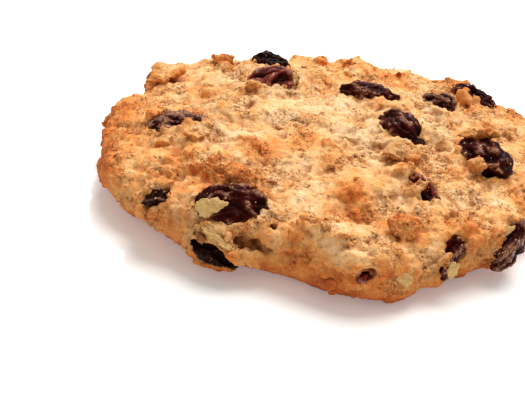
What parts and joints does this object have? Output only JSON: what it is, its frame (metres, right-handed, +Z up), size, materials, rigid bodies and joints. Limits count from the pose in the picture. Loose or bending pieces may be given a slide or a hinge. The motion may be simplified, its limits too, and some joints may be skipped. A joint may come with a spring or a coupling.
{
  "type": "oatmeal raisin cookie",
  "caption": "Round baked oat cookie with a craggy top and rim, raisins set in the dough, and a flat underside.",
  "frame": {"origin": "middle of the underside of the box round the whole cookie, on the surface it lies on", "axes": "+Z up out of the top of the cookie, +Y away from the side that faces the viewer, +X to the viewer's right"},
  "size_m": [0.0872, 0.0862, 0.0176],
  "materials": {
    "dough": "baked oat dough, pale golden in the hollows and toasted orange brown on the lumps, matte and crumbly",
    "raisin": "dark purple brown wrinkled skin with a dull sugary sheen"
  },
  "bodies": {
    "root": {"dough": "dough", "raisin_left": "raisin", "raisin_front_left": "raisin", "raisin_back_tall": "raisin", "raisin_back_red": "raisin", "raisin_back_middle": "raisin", "raisin_back_round": "raisin", "raisin_middle_big": "raisin", "raisin_right_big": "raisin", "raisin_back_right": "raisin", "raisin_front_peek": "raisin", "raisin_left_back": "raisin", "raisin_under_left": "raisin", "raisin_front_low": "raisin", "raisin_cleft": "raisin", "raisin_right_low": "raisin", "raisin_left_low": "raisin", "raisin_right_side": "raisin", "raisin_far_right": "raisin", "raisin_back_side": "raisin", "raisin_far_back": "raisin", "raisin_back_left_side": "raisin"}
  },
  "joints": []
}
